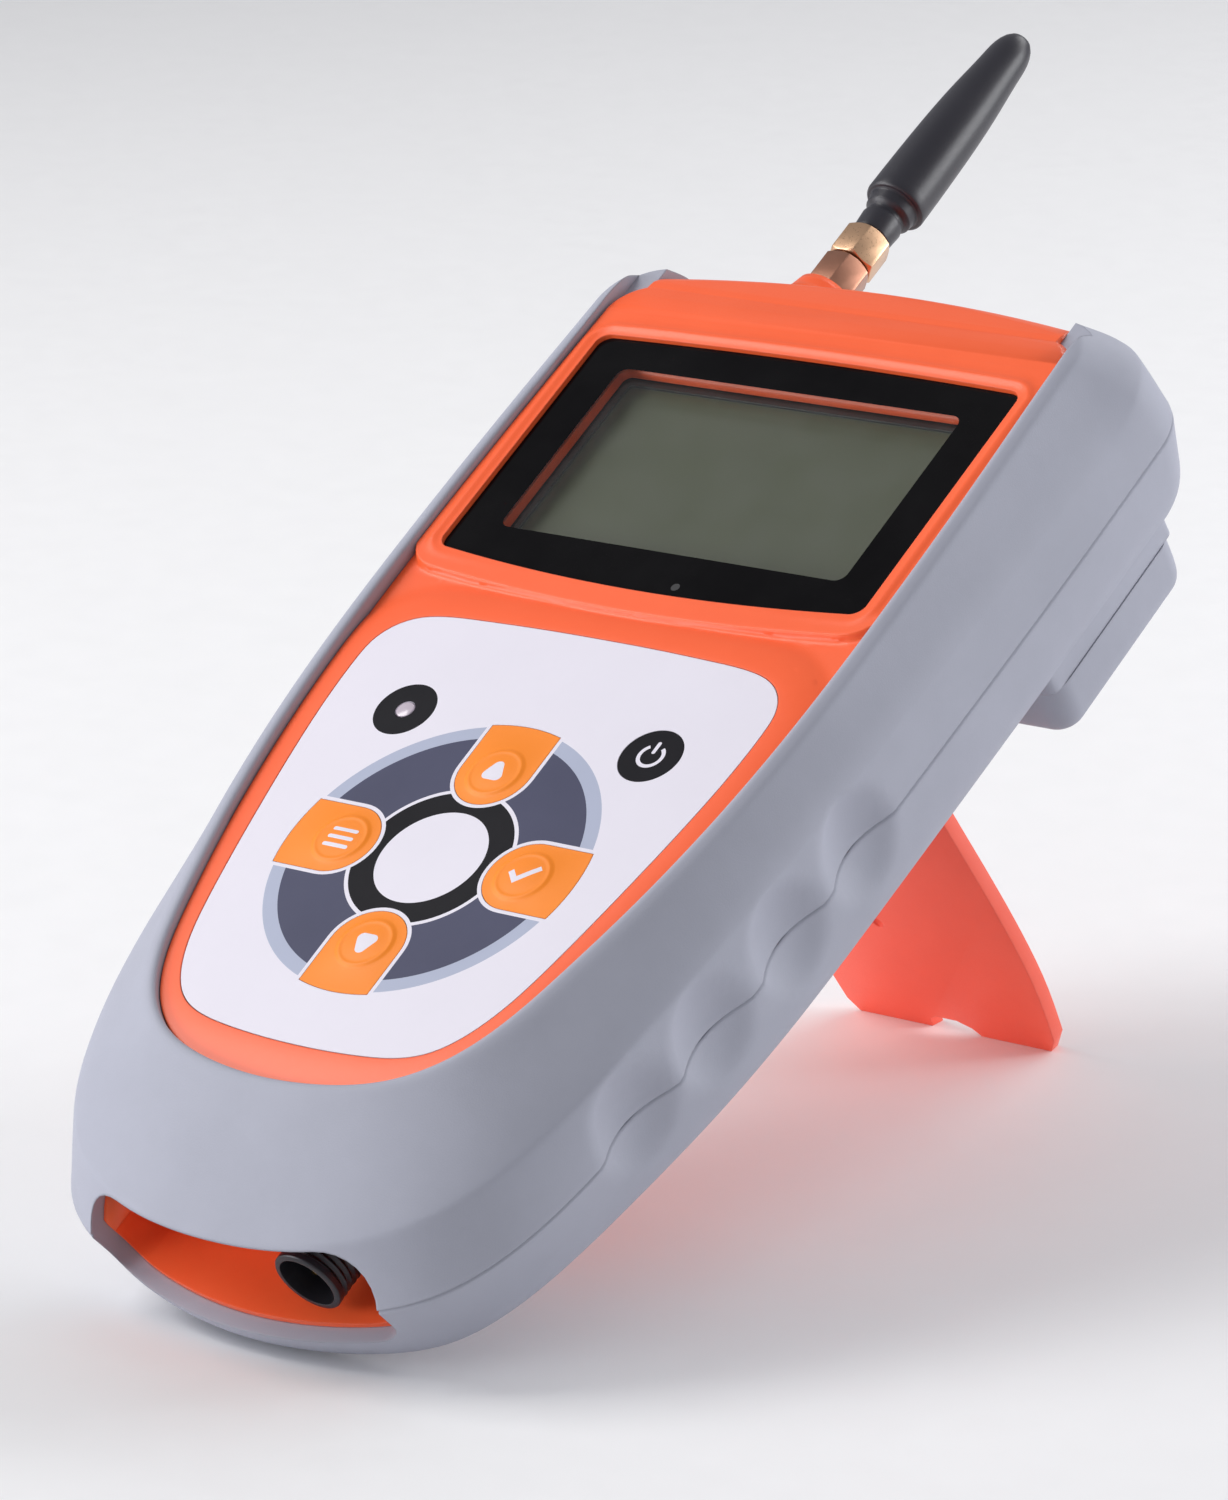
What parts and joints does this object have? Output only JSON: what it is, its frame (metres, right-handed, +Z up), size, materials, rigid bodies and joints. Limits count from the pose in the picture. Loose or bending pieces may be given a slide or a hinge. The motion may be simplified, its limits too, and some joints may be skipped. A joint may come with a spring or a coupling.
{
  "type": "handheld spectrum analyzer",
  "caption": "Handheld radio spectrum analyzer with display, membrane keypad, screw-on stub antenna, rubber boot, rear battery door and fold-out stand, standing on its open stand.",
  "frame": {"origin": "on the surface it stands on, under the middle of the whole object's bounding box", "axes": "+Z up; +X across the face, to the right of someone reading the display; +Y along the instrument from its lower end towards the antenna, level with the ground. The instrument leans back 31 degrees on its open stand."},
  "size_m": [0.116, 0.2454, 0.1674],
  "materials": {
    "case_orange": "fine satin moulded ABS, orange red",
    "boot_rubber": "soft matte grey-lavender elastomer",
    "seal_rubber": "black silicone cord",
    "panel_orange": "deeper orange red moulded panel",
    "lens_black": "back-printed glossy acrylic with a clear window",
    "tape_black": "black foam tape",
    "bezel_steel": "black lacquered pressed steel",
    "lcd_face": "grey-green liquid crystal glass with a polariser",
    "backlight_white": "milky acrylic light guide",
    "board_green": "green solder-masked laminate",
    "screw_steel": "zinc-plated steel",
    "chip_black": "moulded epoxy package",
    "overlay_white": "fine-textured polyester, white with printed rings",
    "spacer_film": "clear polyester spacer",
    "circuit_film": "amber polyimide with printed tracks",
    "key_orange": "embossed printed polyester, orange",
    "key_black": "printed polyester, black",
    "dome_steel": "stainless snap dome",
    "pipe_clear": "smoky clear acrylic",
    "led_white": "small white package",
    "socket_ivory": "ivory nylon",
    "shield_tin": "tin-plated steel can",
    "jack_brass": "gold-flashed machined brass",
    "nut_brass": "dull machined brass",
    "ptfe_white": "white fluoropolymer",
    "whip_black": "satin black moulded sleeve",
    "cable_brown": "thin coaxial cable jacket",
    "connector_black": "black-plated threaded shell",
    "insert_black": "black glass-filled insert",
    "pin_gold": "gold-plated contact",
    "nut_nickel": "nickel-plated nut",
    "lead_black": "black sleeved leads",
    "lead_red": "red insulated wire",
    "cell_jacket": "plain printed film jacket",
    "contact_nickel": "nickel-plated spring steel",
    "door_grey": "grey-lavender overmoulded cap, as the boot",
    "stand_orange": "satin moulded plastic, orange red",
    "pin_steel": "bright drawn steel"
  },
  "bodies": {
    "instrument": {"battery_contacts": "contact_nickel", "battery_lower_left": "cell_jacket", "battery_lower_right": "cell_jacket", "battery_upper_left": "cell_jacket", "battery_upper_right": "cell_jacket", "board_chips": "chip_black", "board_screws": "screw_steel", "case_screws": "screw_steel", "case_seal": "seal_rubber", "connector_insert": "insert_black", "connector_leads": "lead_black", "connector_nut": "nut_nickel", "connector_pins": "pin_gold", "connector_shell": "connector_black", "display_header": "chip_black", "display_lens": "lens_black", "door_pin": "pin_steel", "end_panel": "panel_orange", "front_housing": "case_orange", "jack_insulator": "ptfe_white", "jack_nut": "nut_brass", "keypad_circuit": "circuit_film", "keypad_overlay": "overlay_white", "keypad_socket": "socket_ivory", "keypad_spacer": "spacer_film", "lcd_backlight": "backlight_white", "lcd_bezel": "bezel_steel", "lcd_board": "board_green", "lcd_glass": "lcd_face", "lcd_screws": "screw_steel", "lead_header": "socket_ivory", "lead_negative": "lead_black", "lead_positive": "lead_red", "lens_tape": "tape_black", "light_pipe": "pipe_clear", "light_sensor": "chip_black", "main_board": "board_green", "rear_housing": "case_orange", "rf_cable": "cable_brown", "rf_shield": "shield_tin", "rubber_boot": "boot_rubber", "sma_jack": "jack_brass", "stand_pin": "pin_steel", "status_led": "led_white"},
    "stand": {"kickstand": "stand_orange"},
    "battery_door": {"battery_door": "door_grey"},
    "antenna": {"antenna_whip": "whip_black", "antenna_plug": "jack_brass"},
    "coupling_nut": {"coupling_nut": "jack_brass"},
    "key_ok": {"key_ok": "key_orange", "dome_ok": "dome_steel"},
    "key_up": {"key_up": "key_orange", "dome_up": "dome_steel"},
    "key_menu": {"key_menu": "key_orange", "dome_menu": "dome_steel"},
    "key_down": {"key_down": "key_orange", "dome_down": "dome_steel"},
    "key_power": {"key_power": "key_black", "dome_power": "dome_steel"}
  },
  "joints": [
    {"name": "stand_hinge", "type": "hinge", "parent": "instrument", "child": "stand", "pos_m": [0, 0.02362, 0.07956], "axis": [1, 0, 0], "range_deg": [-90, 0]},
    {"name": "battery_door_hinge", "type": "hinge", "parent": "instrument", "child": "battery_door", "pos_m": [0, 0.06116, 0.09921], "axis": [1, 0, 0], "range_deg": [0, 60]},
    {"name": "antenna_travel", "type": "slide", "parent": "instrument", "child": "antenna", "axis": [0, 0.8572, 0.515], "range_m": [0, 0.00353]},
    {"name": "coupling_nut_turn", "type": "hinge", "parent": "antenna", "child": "coupling_nut", "pos_m": [-0.019, 0.07333, 0.13662], "axis": [0, 0.8572, 0.515], "range_deg": [0, 1800]},
    {"name": "ok_key_press", "type": "slide", "parent": "instrument", "child": "key_ok", "axis": [0, 0.515, -0.8572], "range_m": [0, 0.00028], "stiffness_N_per_m": 3000},
    {"name": "up_key_press", "type": "slide", "parent": "instrument", "child": "key_up", "axis": [0, 0.515, -0.8572], "range_m": [0, 0.00028], "stiffness_N_per_m": 3000},
    {"name": "menu_key_press", "type": "slide", "parent": "instrument", "child": "key_menu", "axis": [0, 0.515, -0.8572], "range_m": [0, 0.00028], "stiffness_N_per_m": 3000},
    {"name": "down_key_press", "type": "slide", "parent": "instrument", "child": "key_down", "axis": [0, 0.515, -0.8572], "range_m": [0, 0.00028], "stiffness_N_per_m": 3000},
    {"name": "power_key_press", "type": "slide", "parent": "instrument", "child": "key_power", "axis": [0, 0.515, -0.8572], "range_m": [0, 0.00028], "stiffness_N_per_m": 3000}
  ],
  "couplings": [
    {"joint": "coupling_nut_turn", "follows": "antenna_travel", "rad_per_m": 8905}
  ]
}
